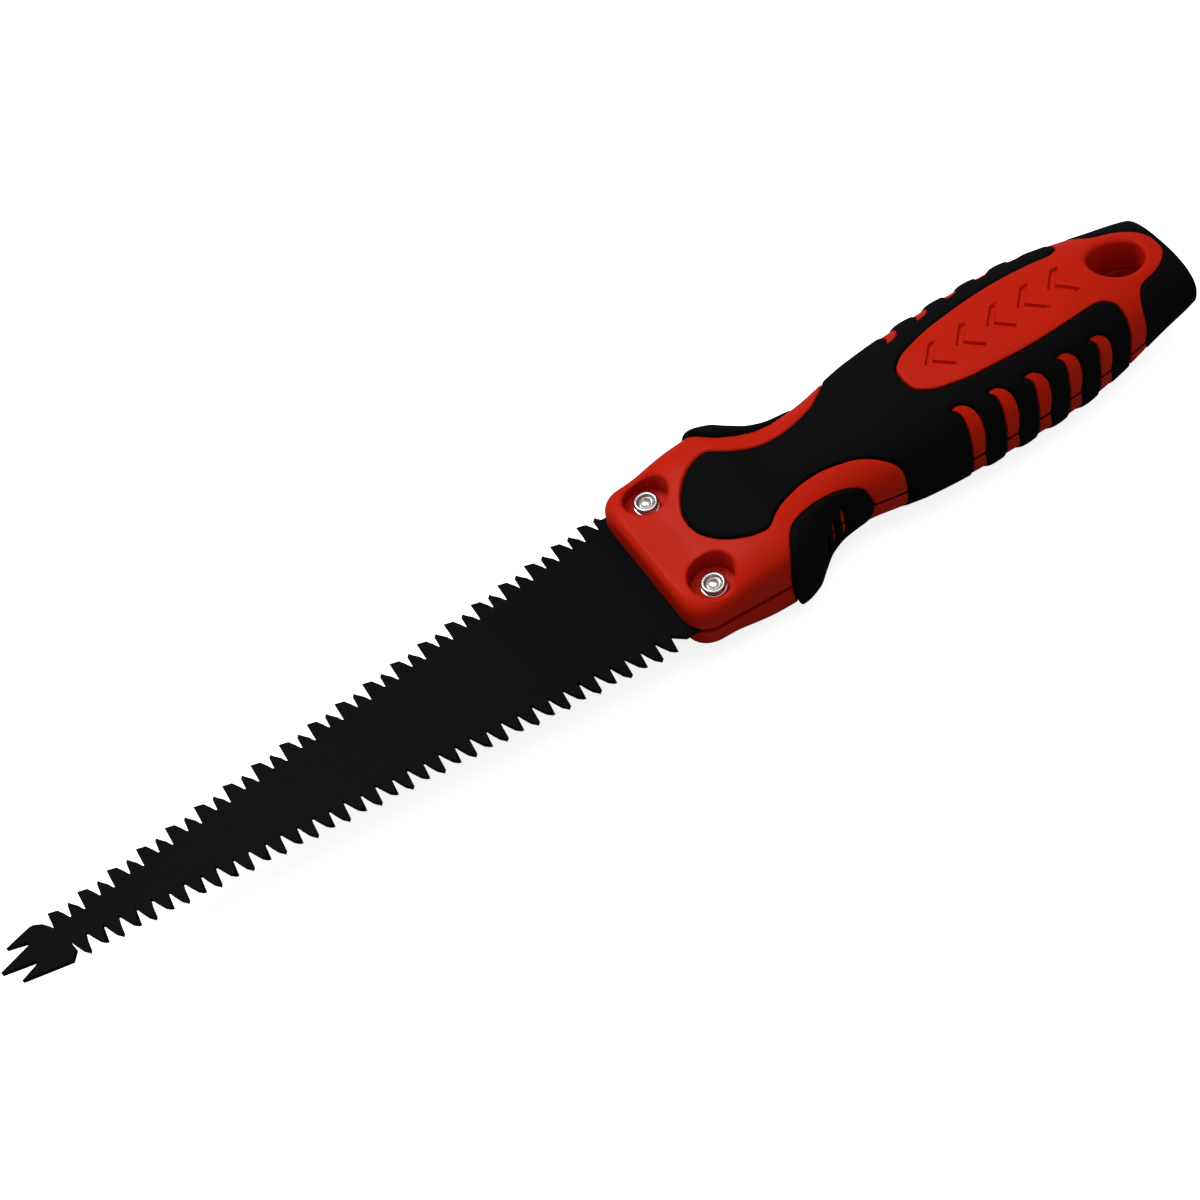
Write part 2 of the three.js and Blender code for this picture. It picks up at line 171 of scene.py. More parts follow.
# the handle along its length: X, half width, height above and below the mid plane,
# squareness of the section; all mm but the last
STATIONS = [
    (0, 20.3, 7.9, 7.9, 5), (9, 20.5, 8.3, 8.3, 5), (14, 20.8, 9.6, 9.6, 5),
    (20, 21.2, 11.1, 11.1, 4.6), (26, 21.4, 11.6, 11.6, 4.2), (30, 20.6, 11.1, 11.1, 3.8),
    (33.5, 18.2, 10.6, 10.6, 3.4), (37, 15.9, 10.5, 10.5, 3), (42, 14.8, 10.7, 10.7, 2.7),
    (48, 15, 11.1, 11.1, 2.5), (55, 16.2, 11.8, 11.8, 2.5), (63, 17.9, 12.7, 12.7, 2.4),
    (75, 18.7, 13.7, 13.7, 2.4), (88, 18.9, 14.4, 14.4, 2.4), (98, 18.7, 14.6, 14.6, 2.4),
    (108, 18.1, 14.2, 14.1, 2.4), (115, 17.3, 13.3, 12.6, 2.3), (122, 16.1, 11.9, 10.3, 2.2),
    (130, 14.7, 10.2, 7.8, 2.1), (136, 13.6, 8.4, 6.7, 2.2), (140, 12.7, 6.9, 6, 2.4),
]
half_width = curve_through(STATIONS, 1)
height_above = curve_through(STATIONS, 2)
height_below = curve_through(STATIONS, 3)
squareness = curve_through(STATIONS, 4)


def roll(distance, radius):
    """How far a rounded edge of this radius has dropped at a distance from it."""
    d = np.clip(distance, 0, radius)
    return radius - np.sqrt(np.maximum(radius**2 - (radius - d) ** 2, 0))


def handle_points(u, angle, grow):
    """Points of the handle. u is X up to the tail, then goes in over the end face."""
    u = np.asarray(u, float)
    over = np.clip(u - HANDLE_LENGTH, 0, 1)
    x = np.minimum(u, HANDLE_LENGTH)
    scale = 1 - over
    domed = np.clip((x - DOME_START) / (HANDLE_LENGTH - DOME_START), 0, 1)
    drawn_in = TAIL_DOME * domed**2 * scale**2
    c, s = np.cos(angle), np.sin(angle)
    height = np.where(s < 0, height_below(x), height_above(x))
    to_tail = HANDLE_LENGTH - x
    w = half_width(x) - roll(x, HEAD_ROLL) - roll(to_tail, TAIL_ROLL) + grow
    h = height - roll(x, HEAD_FLAT_ROLL) - roll(to_tail, TAIL_FLAT_ROLL) + grow
    n = squareness(x)
    r = (np.abs(c) ** n + np.abs(s) ** n) ** (-1 / n)
    flat = FLAT_HALF + np.minimum(grow, 0)
    z = np.clip(h * r * s, -flat, flat)
    return np.stack([x - drawn_in, w * r * c * scale, z * scale], 1)


# -------- outlines
def outline_distance(points, outline):
    """Distance in mm from 2D points to a closed outline, positive inside it."""
    p = np.asarray(points, float)
    a = np.asarray(outline, float)
    b = np.roll(a, -1, axis=0)
    best = np.full(len(p), np.inf)
    inside = np.zeros(len(p), bool)
    for (ax, ay), (bx, by) in zip(a, b):
        dx, dy = bx - ax, by - ay
        t = ((p[:, 0] - ax) * dx + (p[:, 1] - ay) * dy) / max(dx * dx + dy * dy, 1e-12)
        t = np.clip(t, 0, 1)
        best = np.minimum(best, np.hypot(p[:, 0] - ax - t * dx, p[:, 1] - ay - t * dy))
        crosses = (ay > p[:, 1]) != (by > p[:, 1])
        side = ax + (p[:, 1] - ay) * dx / (dy if abs(dy) > 1e-12 else 1e-12)
        inside ^= crosses & (p[:, 0] < side)
    return np.where(inside, best, -best)


def smooth(points, steps=5):
    """A curve through the points of an open outline."""
    p = np.asarray(points, float)
    p = np.concatenate([[2 * p[0] - p[1]], p, [2 * p[-1] - p[-2]]])
    made = []
    for a, b, c, d in zip(p, p[1:], p[2:], p[3:]):
        for t in np.arange(steps) / steps:
            made.append(b + 0.5 * ((c - a) * t + (2 * a - 5 * b + 4 * c - d) * t**2
                                   + (3 * b - a - 3 * c + d) * t**3))
    return [tuple(v) for v in made] + [tuple(p[-2])]


# Outlines on the handle's skin: X in mm, and degrees round from the middle of the top
# or of the underside, 90 being the seam at either side.
DEGREE = 0.3  # mm of girth to a degree
PAD = [(12.06, 0), (12.6, 9), (14.4, 18), (16.8, 24.5), (19.9, 29.3), (23, 31.5), (25, 31.3),
       (27.4, 27.4), (30, 24.4), (33, 23.5), (38.6, 24.8), (43, 27), (46.75, 30.5), (49.9, 34.5),
       (52.4, 40), (54.6, 47), (56.1, 54), (56.8, 62), (56.9, 72.5), (56.9, 90)]
PANEL = [(68.25, 0), (68.75, 10), (70.3, 15.2), (73.1, 20), (80, 25.3), (85, 27), (91.25, 28.8),
         (97.5, 29.6), (103.75, 29.5), (110, 28.9), (113.5, 29), (115.5, 31.5), (116.9, 36),
         (117.6, 41.2), (117.8, 51.7), (117.4, 64.2), (116.6, 78.7), (116.3, 90)]
GUARD = [(23.6, 90), (23.7, 72.5), (24.2, 60), (24.9, 52.7), (26.1, 45.4), (27.7, 40),
         (29.9, 37), (32.4, 37.4), (35.5, 40.8), (38.6, 44.5), (41.75, 48), (44.25, 51.5),
         (46.4, 56.5), (47.7, 62), (48.3, 70.4), (48.9, 83), (49.2, 90)]
CAP = [(121.25, 90), (121.75, 78.7), (122.2, 64.2), (122.8, 51.7), (124.1, 41.2), (125.6, 35.5),
       (127.5, 33), (130, 31), (132.5, 27), (135, 20), (136.7, 11), (137.4, 0)]
PAST, BEFORE = 125, -35  # carries the outlines on past the seam and the middle


def skin_ring(points):
    """An outline in mm along the handle and mm of girth."""
    return [(x, DEGREE * d) for x, d in points]


GRIP_RING = skin_ring([(PAD[0][0], BEFORE)] + smooth(PAD) + [(PAD[-1][0], PAST)]
                      + [(PANEL[-1][0], PAST)] + smooth(PANEL)[::-1] + [(PANEL[0][0], BEFORE)])
GUARD_RING = skin_ring(smooth(GUARD) + [(GUARD[-1][0], PAST), (GUARD[0][0], PAST)])
CAP_RING = skin_ring([(CAP[0][0], PAST)] + smooth(CAP)
                     + [(CAP[-1][0], BEFORE), (200, BEFORE), (200, PAST)])

# the windows between the ribs: middle X and the degrees where each one's top lies
CRESCENTS = [(74.2, 37), (83.0, 40.6), (91.6, 45), (100.1, 46), (108.8, 48)]
RIB_STEP = 8.65
# front and back edges: X from the middle, share of the way down to the seam
CRESCENT_BACK = [(-2.2, 0), (0.1, 0.01), (1.9, 0.11), (2.7, 0.27), (2.6, 0.5), (2.2, 0.72),
                 (1.6, 1)]
CRESCENT_FRONT = [(-2.2, 0), (-0.9, 0.12), (-0.6, 0.27), (-1.1, 0.5), (-1.3, 0.75), (-1.5, 1)]


def crescent_ring(middle, top):
    """The outline of one window, carried on past the seam."""
    def put(edge):
        return [(middle + x, top + (90 - top) * t) for x, t in smooth(edge)]

    back, front = put(CRESCENT_BACK), put(CRESCENT_FRONT)
    past_seam = [(back[-1][0], PAST), (front[-1][0], PAST)]
    return skin_ring(back + past_seam + front[::-1][:-1])


CRESCENT_RINGS = [crescent_ring(*place) for place in CRESCENTS]

# the slits in the guards: X, degrees where the pointed top lies, half width
SLITS = [(35.3, 74, 0.35), (38.0, 67, 0.6), (41.1, 63, 0.6)]


def slit_ring(x, top, half):
    """The outline of one slit, carried on past the seam."""
    side = [(0.6, top + 4), (1, top + 10), (1, PAST)]
    return skin_ring([(x, top)] + [(x + half * t, d) for t, d in side]
                     + [(x - half * t, d) for t, d in side[::-1]])


SLIT_RINGS = [slit_ring(*place) for place in SLITS]


def on_skin(p, ring):
    """Distance inside an outline, for points given as Skin.base gives them."""
    return outline_distance(p[:, [0, 3]], ring)


def crescent_field(p):
    """The windows between the ribs, positive inside a window."""
    return np.maximum.reduce([on_skin(p, ring) for ring in CRESCENT_RINGS])


def slit_field(p):
    """The slits in the guards, positive inside a slit."""
    return np.maximum.reduce([on_skin(p, ring) for ring in SLIT_RINGS])


def grip_field(p):
    """The pads, the wrap and the ribbed sides, with the red panels left out."""
    return np.minimum(on_skin(p, GRIP_RING), -crescent_field(p))


def guard_field(p):
    """The finger guards, with their slits left out."""
    return np.minimum(on_skin(p, GUARD_RING), -slit_field(p))


def cap_field(p):
    """The cap over the tail."""
    return on_skin(p, CAP_RING)


def black_field(p):
    """All that the soft black pieces cover."""
    return np.maximum.reduce([grip_field(p), guard_field(p), cap_field(p)])


def bore_field(p):
    """Distance outside the two counterbores."""
    return np.hypot(p[:, 0] - RIVET_X, np.abs(p[:, 1]) - RIVET_Y) - BORE_R


def hang_field(p, half_x, half_y):
    """Distance outside the oval hang hole."""
    t = np.linspace(0, 2 * math.pi, 64, endpoint=False)
    ring = np.stack([HANG_X + half_x * np.cos(t), half_y * np.sin(t)], 1)
    return -outline_distance(p[:, :2], ring)


def mark_field(p):
    """Five chevrons cut into the red panel, positive inside them."""
    field = np.full(len(p), -50.0)
    reach, half, wide = 4.0, 4.3, 2.3
    for x in CHEVRONS:
        ring = [(x, 0), (x + reach, half), (x + reach + wide, half), (x + wide, 0),
                (x + reach + wide, -half), (x + reach, -half)]
        field = np.maximum(field, outline_distance(p[:, :2], ring))
    return field


# -------- surface cutting
class Skin:
    """A net of polygons over the handle, cut along outlines so that edges run smooth."""

    on_cut = 0.015  # points as near as this to a cut, in mm, count as lying on it

    def __init__(self, us, angles, wrap):
        rows, columns = len(us), len(angles)
        self.points = np.array([(u, a) for u in us for a in angles], float)
        last = columns if wrap else columns - 1  # wrap joins the last column to the first
        self.polygons = []
        for i in range(rows - 1):
            for j in range(last):
                k = (j + 1) % columns
                a, b = i * columns + j, i * columns + k
                self.polygons.append([a, b, b + columns, a + columns])

    def base(self, points=None):
        """X, Y and Z on the plain handle, and the girth from the top or the underside."""
        p = self.points if points is None else points
        place = handle_points(p[:, 0], p[:, 1], np.zeros(len(p)))
        degrees = np.degrees(np.arccos(np.minimum(np.abs(np.sin(p[:, 1])), 1)))
        return np.column_stack([place, DEGREE * degrees])

    def split(self, field, level):
        """Cuts every polygon that the field's level runs through."""
        value = field(self.base()) - level
        value[np.abs(value) < self.on_cut] = 0
        made, extra = {}, []
        count = len(self.points)
        result, cut = [], []
        for poly in self.polygons:
            v = value[poly]
            if v.min() < 0 < v.max():
                cut.append(poly)
            else:
                result.append(poly)
        for poly in cut:
            for a, b in zip(poly, poly[1:] + poly[:1]):
                key = (min(a, b), max(a, b))
                if value[a] * value[b] < 0 and key not in made:
                    made[key] = count + len(extra)
                    pa, pb = self.points[key[0]].copy(), self.points[key[1]].copy()
                    if pb[1] - pa[1] > math.pi:
                        pa[1] += 2 * math.pi
                    if pa[1] - pb[1] > math.pi:
                        pb[1] += 2 * math.pi
                    extra.append((pa, pb, value[key[0]], value[key[1]]))
        if extra:
            pa = np.array([e[0] for e in extra])
            pb = np.array([e[1] for e in extra])
            va = np.array([e[2] for e in extra])
            vb = np.array([e[3] for e in extra])
            t = va / (va - vb)
            lo, hi = np.zeros(len(t)), np.ones(len(t))
            for _ in range(5):
                v = field(self.base(pa + (pb - pa) * t[:, None])) - level
                same = np.sign(v) == np.sign(va)
                lo = np.where(same, t, lo)
                hi = np.where(same, hi, t)
                t = (lo + hi) / 2
            self.points = np.concatenate([self.points, pa + (pb - pa) * t[:, None]])
        for poly in cut:
            ring = []
            for a, b in zip(poly, poly[1:] + poly[:1]):
                ring.append((a, value[a]))
                if value[a] * value[b] < 0:
                    ring.append((made[(min(a, b), max(a, b))], 0.0))
            above = [i for i, v in ring if v >= 0]
            below = [i for i, v in ring if v <= 0]
            result.extend(part for part in (above, below) if len(part) > 2)
        self.polygons = result

    def keep(self, field, level=0.0):
        """Keeps the polygons that lie where the field is above the level."""
        value = field(self.base()) - level
        self.polygons = [poly for poly in self.polygons if value[poly].mean() > 0]

    def used(self):
        """Drops the points that no polygon uses."""
        index = sorted({i for poly in self.polygons for i in poly})
        place = {old: new for new, old in enumerate(index)}
        self.points = self.points[index]
        self.polygons = [[place[i] for i in poly] for poly in self.polygons]


def mesh_object(name, verts, faces, weld=0.004):
    """A smooth object from metres, with points closer than the weld's mm joined."""
    mesh = bpy.data.meshes.new(name)
    mesh.from_pydata([tuple(v) for v in verts], [], faces)
    bm = bmesh.new()
    bm.from_mesh(mesh)
    bmesh.ops.remove_doubles(bm, verts=bm.verts, dist=weld * MM)
    bmesh.ops.dissolve_degenerate(bm, edges=bm.edges, dist=weld * MM)
    loose = [vert for vert in bm.verts if not vert.link_faces]
    bmesh.ops.delete(bm, geom=loose, context="VERTS")
    bmesh.ops.recalc_face_normals(bm, faces=bm.faces)
    bm.to_mesh(mesh)
    bm.free()
    mesh.validate()
    for polygon in mesh.polygons:
        polygon.use_smooth = True
    mesh.set_sharp_from_angle(angle=math.radians(38))
    obj = bpy.data.objects.new(name, mesh)
    bpy.context.scene.collection.objects.link(obj)
    return obj


def in_frame(points):
    """Millimetres from the head's front face to metres in the row's frame."""
    return (np.asarray(points) + (HEAD_X, 0, MID_Z)) * MM


def solid_object(name, skin, outer, inner, weld=0.004):
    """Closes a skin into a solid: the outer face, the inner face and the walls."""
    count = len(skin.points)
    faces = [list(poly) for poly in skin.polygons]
    edges = {}
    for poly in faces:
        for a, b in zip(poly, poly[1:] + poly[:1]):
            if (b, a) in edges:
                del edges[(b, a)]
            else:
                edges[(a, b)] = True
    back = [[i + count for i in reversed(poly)] for poly in faces]
    walls = [[b, a, a + count, b + count] for a, b in edges]
    verts = in_frame(np.concatenate([outer, inner]))
    return mesh_object(name, verts, faces + back + walls, weld)


def along(start, end, cell):
    """Even rows along the handle, about a cell apart."""
    return list(np.linspace(start, end, max(int(round((end - start) / cell)), 2) + 1))


def around(start, end, cell, girth=108.0):
    """Even angles round the handle, about a cell apart on its girth."""
    count = int(round(girth * abs(end - start) / (2 * math.pi) / cell))
    return list(np.linspace(start, end, count + 1))


def end_rows(count):
    """Rows that go in over the tail's end face to its middle."""
    return [HANDLE_LENGTH + t for t in np.linspace(0, 1, count)[1:]]


# -------- materials
def linear(hex_colour):
    """An sRGB hex colour as linear red, green, blue and alpha."""
    channels = [int(hex_colour[i:i + 2], 16) / 255 for i in (0, 2, 4)]
    values = [c / 12.92 if c <= 0.04045 else ((c + 0.055) / 1.055) ** 2.4 for c in channels]
    return (*values, 1.0)


def add_node(tree, kind, inputs=None, **settings):
    """A node with its settings, its inputs being values or the sockets that feed them."""
    node = tree.nodes.new(kind)
    for key, value in settings.items():
        setattr(node, key, value)
    for key, value in (inputs or {}).items():
        if isinstance(value, bpy.types.NodeSocket):
            tree.links.new(value, node.inputs[key])
        else:
            node.inputs[key].default_value = value
    return node


def new_material(name):
    """A bare material: itself, its tree, the place on the piece and its shader."""
    material = bpy.data.materials.new(name)
    material.use_nodes = True
    tree = material.node_tree
    tree.nodes.clear()
    place = add_node(tree, "ShaderNodeTexCoord").outputs["Object"]
    shader = add_node(tree, "ShaderNodeBsdfPrincipled")
    out = add_node(tree, "ShaderNodeOutputMaterial", {"Surface": shader.outputs["BSDF"]})
    out.is_active_output = True
    return material, tree, place, shader


def moulded_polypropylene(colour):
    """Semi-gloss moulded polypropylene: a clear red with a faint, pebbled tool finish."""
    material, tree, place, shader = new_material("polypropylene_moulded_red")
    mottle = add_node(tree, "ShaderNodeTexNoise", {"Vector": place, "Scale": 60.0, "Detail": 3.0})
    tint = add_node(tree, "ShaderNodeMix", {
        0: mottle.outputs["Fac"], 6: linear(colour), 7: linear("B41A07")}, data_type="RGBA")
    tree.links.new(tint.outputs[2], shader.inputs["Base Color"])
    gloss = add_node(tree, "ShaderNodeMapRange", {
        "Value": mottle.outputs["Fac"], "To Min": 0.34, "To Max": 0.46})
    tree.links.new(gloss.outputs[0], shader.inputs["Roughness"])
    # the tool's pebbled finish is about 0.3 mm, drawn at 0.9 mm so that it shows
    grain = add_node(tree, "ShaderNodeTexNoise", {"Vector": place, "Scale": 1100.0, "Detail": 3.0})
    bump = add_node(tree, "ShaderNodeBump", {
        "Height": grain.outputs["Fac"], "Strength": 0.35, "Distance": 0.06 * MM})
    tree.links.new(bump.outputs[0], shader.inputs["Normal"])
    shader.inputs["IOR"].default_value = 1.49
    shader.inputs["Specular IOR Level"].default_value = 0.05
    return material


def moulded_elastomer(colour):
    """Matt thermoplastic elastomer: near black, with a spark-eroded grain."""
    material, tree, place, shader = new_material("elastomer_moulded_black")
    cloud = add_node(tree, "ShaderNodeTexNoise", {"Vector": place, "Scale": 90.0, "Detail": 4.0})
    tint = add_node(tree, "ShaderNodeMix", {
        0: cloud.outputs["Fac"], 6: linear(colour), 7: linear("0C0C0D")}, data_type="RGBA")
    tree.links.new(tint.outputs[2], shader.inputs["Base Color"])
    dull = add_node(tree, "ShaderNodeMapRange", {
        "Value": cloud.outputs["Fac"], "To Min": 0.62, "To Max": 0.8})
    tree.links.new(dull.outputs[0], shader.inputs["Roughness"])
    # the spark-eroded grain is about 0.3 mm, drawn at 0.8 mm so that it shows
    grain = add_node(tree, "ShaderNodeTexNoise", {"Vector": place, "Scale": 1250.0, "Detail": 3.0})
    bump = add_node(tree, "ShaderNodeBump", {
        "Height": grain.outputs["Fac"], "Strength": 0.5, "Distance": 0.1 * MM})
    tree.links.new(bump.outputs[0], shader.inputs["Normal"])
    shader.inputs["Specular IOR Level"].default_value = 0.03
    return material


def coated_steel(colour):
    """Spring steel under a black low-friction coat: satin, with faint rolling lines."""
    material, tree, place, shader = new_material("steel_coated_black")
    stretch = add_node(tree, "ShaderNodeMapping", {"Vector": place, "Scale": (0.05, 1.0, 1.0)})
    lines = add_node(tree, "ShaderNodeTexNoise", {
        "Vector": stretch.outputs[0], "Scale": 1600.0, "Detail": 4.0})
    tint = add_node(tree, "ShaderNodeMix", {
        0: lines.outputs["Fac"], 6: linear(colour), 7: linear("0A0A0E")}, data_type="RGBA")
    tree.links.new(tint.outputs[2], shader.inputs["Base Color"])
    satin = add_node(tree, "ShaderNodeMapRange", {
        "Value": lines.outputs["Fac"], "To Min": 0.38, "To Max": 0.52})
    tree.links.new(satin.outputs[0], shader.inputs["Roughness"])
    bump = add_node(tree, "ShaderNodeBump", {
        "Height": lines.outputs["Fac"], "Strength": 0.1, "Distance": 0.02 * MM})
    tree.links.new(bump.outputs[0], shader.inputs["Normal"])
    shader.inputs["Specular IOR Level"].default_value = 0.018
    return material


def plated_steel(colour):
    """Bright nickel plate over pressed steel: mirror-like with fine turning marks."""
    material, tree, place, shader = new_material("steel_nickel_plated")
    shader.inputs["Metallic"].default_value = 1.0
    shader.inputs["Base Color"].default_value = linear(colour)
    smear = add_node(tree, "ShaderNodeTexNoise", {"Vector": place, "Scale": 900.0, "Detail": 3.0})
    gloss = add_node(tree, "ShaderNodeMapRange", {
        "Value": smear.outputs["Fac"], "To Min": 0.16, "To Max": 0.34})
    tree.links.new(gloss.outputs[0], shader.inputs["Roughness"])
    return material


def material_for(kind):
    """The finish of that kind, made once."""
    colours = bpy.context.scene.saw_colours
    makers = {
        "core_red": (moulded_polypropylene, colours.red),
        "soft_black": (moulded_elastomer, colours.black),
        "blade_steel": (coated_steel, colours.coating),
        "rivet_steel": (plated_steel, colours.plating),
    }
    for material in bpy.data.materials:
        if material.get("saw_finish") == kind:
            return material
    maker, colour = makers[kind]
    material = maker(colour)
    material["saw_finish"] = kind
    return material


def finish_piece(obj, kind, *nodes):
    """Gives a piece its finish, its body and the nodes that it stands for."""
    if not obj.data.materials:
        obj.data.materials.append(material_for(kind))
    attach(obj, "root")
    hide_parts(*nodes)


# -------- blade
def blade_outlines(settings):
    """The blade's outline on its upper and on its lower face, point for point."""
    pair, slope = settings.tooth_pair / MM, settings.slope
    count = 20  # pairs on the far edge; the near edge has one less
    first = -19.67 * pair  # front of the first tooth
    step = 0.995 * pair
    half_tip = 0.906 * pair  # half of the blade's width there

    def line(x):
        return half_tip + slope * (x - first)

    upper_face, lower_face, lift = [], [], []

    def put(x, y, shift_top=(0, 0), shift_low=(0, 0), bend=0.0):
        upper_face.append((x + shift_top[0], y + shift_top[1]))
        lower_face.append((x + shift_low[0], y + shift_low[1]))
        lift.append(bend)

    ground = settings.bevel / MM
    bend = settings.tooth_set / MM
    for u, v in [(-1.85, 0.02), (-0.84, 0.33), (-0.81, 0.42), (-1.44, 0.62), (-0.9, 0.765),
                 (-0.6, 0.84), (-0.48, 0.825), (-0.25, 0.69), (-0.12, 0.52), (-0.03, 0.38)]:
        put(first + u * pair, v * pair)
    # far edge: upright faces toward the tip, so it cuts on the push
    for i in range(count):
        x0 = first + i * step

        def at(u, depth):
            return x0 + u * pair, line(x0 + u * pair) - depth * pair

        put(*at(0, 0), shift_low=(ground, -0.12 * ground), bend=bend)
        put(*at(0.29, 0.12), shift_low=(0, -0.3 * ground), bend=bend)
        put(*at(0.42, 0.36))
        put(*at(0.5, 0.54))
        put(*at(0.54, 0.57))
        put(*at(0.57, 0.07), shift_top=(ground, -0.2 * ground), bend=-bend)
        put(*at(0.7, 0.17), shift_top=(0.2 * ground, -0.5 * ground), bend=-bend)
        put(*at(0.86, 0.42))
        if i < count - 1:
            put(*at(0.94, 0.6))
            put(*at(0.98, 0.64))
    # the tang: its shoulders just behind and just before the head's front, its corners cut
    tang, tang_end, end_half, corner = 18.2, 34.0, 9, 10
    for x, y in [(0.3, tang), (tang_end - corner, tang), (tang_end, end_half),
                 (tang_end, -end_half), (tang_end - corner, -tang), (-1.6, -tang)]:
        put(x, y)
    # near edge, from the head to the tip: upright faces toward the handle, for the pull
    for i in reversed(range(count - 1)):
        x0 = first + 0.61 * pair + i * step

        def near(u, depth):
            return x0 + u * pair, depth * pair - line(x0 + u * pair)

        put(*near(0.57, 0.64))
        put(*near(0.51, 0.1), shift_top=(-ground, 0.25 * ground), bend=bend)
        put(*near(0.42, 0.12), shift_top=(0, 0.4 * ground), bend=bend)
        put(*near(0.3, 0.24))
        put(*near(0.17, 0.5))
        put(*near(0.1, 0.66))
        put(*near(0.06, 0.68))
        put(*near(0, 0.02), shift_low=(-ground, 0.25 * ground), bend=-bend)
        put(*near(-0.1, 0.04), shift_low=(0, 0.4 * ground), bend=-bend)
        put(*near(-0.22, 0.2))
        put(*near(-0.33, 0.45))
        if i:
            put(*near(-0.39, 0.62))
    for u, v in [(0.2, -0.27), (0.25, -0.6), (0.02, -0.88), (-0.7, -0.73), (-1.44, -0.57),
                 (-0.82, -0.33), (-0.84, -0.26), (-1.85, -0.02)]:
        put(first + u * pair, v * pair)
    return np.array(upper_face), np.array(lower_face), np.array(lift)


class SAW_OT_blade(bpy.types.Operator):
    """Add the coated blade with its forked tip and two toothed edges"""
    bl_idname = "saw.blade"
    bl_label = "Blade"

    def execute(self, context):
        upper, lower, lift = blade_outlines(context.scene.saw_blade)
        count = len(upper)
        half = BLADE_THICK / 2
        verts = []
        for outline, z in ((upper, half), (lower, -half)):
            level = np.clip(z + lift, -half, half)
            verts.extend(zip(outline[:, 0], outline[:, 1], level))
        top = list(range(count))
        low = list(range(count, 2 * count))
        faces = [[top[k - 1], top[k], low[k], low[k - 1]] for k in range(count)]
        mesh = bpy.data.meshes.new("blade_plate")
        bm = bmesh.new()
        bverts = [bm.verts.new(in_frame(v)) for v in np.array(verts)]
        for face in faces:
            bm.faces.new([bverts[i] for i in face])
        for ring in (top, low):
            edges = [bm.edges.get((bverts[ring[k]], bverts[ring[(k + 1) % count]]))
                     for k in range(count)]
            bmesh.ops.triangle_fill(bm, use_beauty=True, edges=edges)
        bmesh.ops.recalc_face_normals(bm, faces=bm.faces)
        bm.to_mesh(mesh)
        bm.free()
        mesh.set_sharp_from_angle(angle=math.radians(20))
        blade = bpy.data.objects.new("blade_plate", mesh)
        context.scene.collection.objects.link(blade)
        finish_piece(blade, "blade_steel", "blade")
        return {"FINISHED"}


# -------- handle pieces
def core_shell(settings, name, side):
    """One red shell: side is 1 for the upper and -1 for the lower."""
    cell, gap = settings.cell / MM, settings.shadow_gap / MM
    start, end = (0, math.pi) if side > 0 else (-math.pi, 0)
    fine = 6  # the rows are closer over this much of the head's rounded front
    rows = along(0, fine, cell * 0.5) + along(fine, CORE_END, cell)[1:]
    skin = Skin(rows, around(start, end, cell), False)
    rim = UPPER_RIM if side > 0 else LOWER_RIM

    def hang(p):
        return hang_field(p, settings.hole_half_x / MM, settings.hole_half_y / MM)

    for level in (-gap - RED_EDGE, -gap - 0.15, -gap, -gap + 0.1):
        skin.split(black_field, level)
    for level in (0.0, 0.25, BORE_EDGE):
        skin.split(bore_field, level)
    for level in (0.0, 0.15 * rim, 0.45 * rim, rim):
        skin.split(hang, level)
    for level in (0.0, MARK_SLOPE):
        skin.split(mark_field, level)
    skin.keep(bore_field)
    skin.keep(hang)
    skin.used()
    p = skin.base()
    black, mark = black_field(p), mark_field(p)
    covered = black > -gap + 0.05
    grow = np.where(covered, -settings.skin / MM - UNDER_SOFT, -roll(-black - gap, RED_EDGE))
    for field, depth in ((crescent_field, WINDOW_DEPTH), (slit_field, SLIT_DEPTH)):
        grow = np.where(field(p) > -gap, np.minimum(grow, -depth), grow)
    for distance, radius in ((bore_field(p), BORE_EDGE), (hang(p), rim),
                             (np.abs(p[:, 2]), SEAM_EDGE)):
        grow -= np.where(covered, 0, roll(distance, radius))
    grow -= np.where(mark > 0, MARK_DEPTH * np.clip(mark / MARK_SLOPE, 0, 1), 0)
    outer = handle_points(skin.points[:, 0], skin.points[:, 1], grow)
    inner = outer.copy()
    in_slot = (outer[:, 0] < SLOT_END) & (np.abs(outer[:, 1]) < SLOT_HALF_WIDTH)
    in_slit = outer[:, 0] < HEAD_SLIT_END
    rest = np.where(in_slot, BLADE_THICK / 2 + SLOT_GAP,
                    np.where(in_slit, HEAD_SLIT / 2, SEAM_GAP))
    # the skin below the seam's face, or within a hundredth of it, would lie in that face, so
    # it is left out
    below = np.abs(outer[:, 2]) <= rest + 0.01
    skin.polygons = [poly for poly in skin.polygons if not below[poly].all()]
    outer[:, 2] = side * np.where(below, rest, np.abs(outer[:, 2]))
    inner[:, 2] = side * rest
    # the skin meets the seam's face in slivers, which a wider weld would tear open
    return solid_object(name, skin, outer, inner, weld=0.0002)


def lathe(profile, steps, centre=(0, 0, 0), side=1, closed=False):
    """Vertices and faces of a profile of (radius, height) turned round Z."""
    count = len(profile)
    verts, faces = [], []
    for k in range(steps):
        a = 2 * math.pi * k / steps
        for r, z in profile:
            verts.append((centre[0] + r * math.cos(a), centre[1] + r * math.sin(a),
                          centre[2] + side * z))
    last = count if closed else count - 1
    for k in range(steps):
        n = (k + 1) % steps
        for i in range(last):
            j = (i + 1) % count
            faces.append([k * count + i, n * count + i, n * count + j, k * count + j])
    return verts, faces


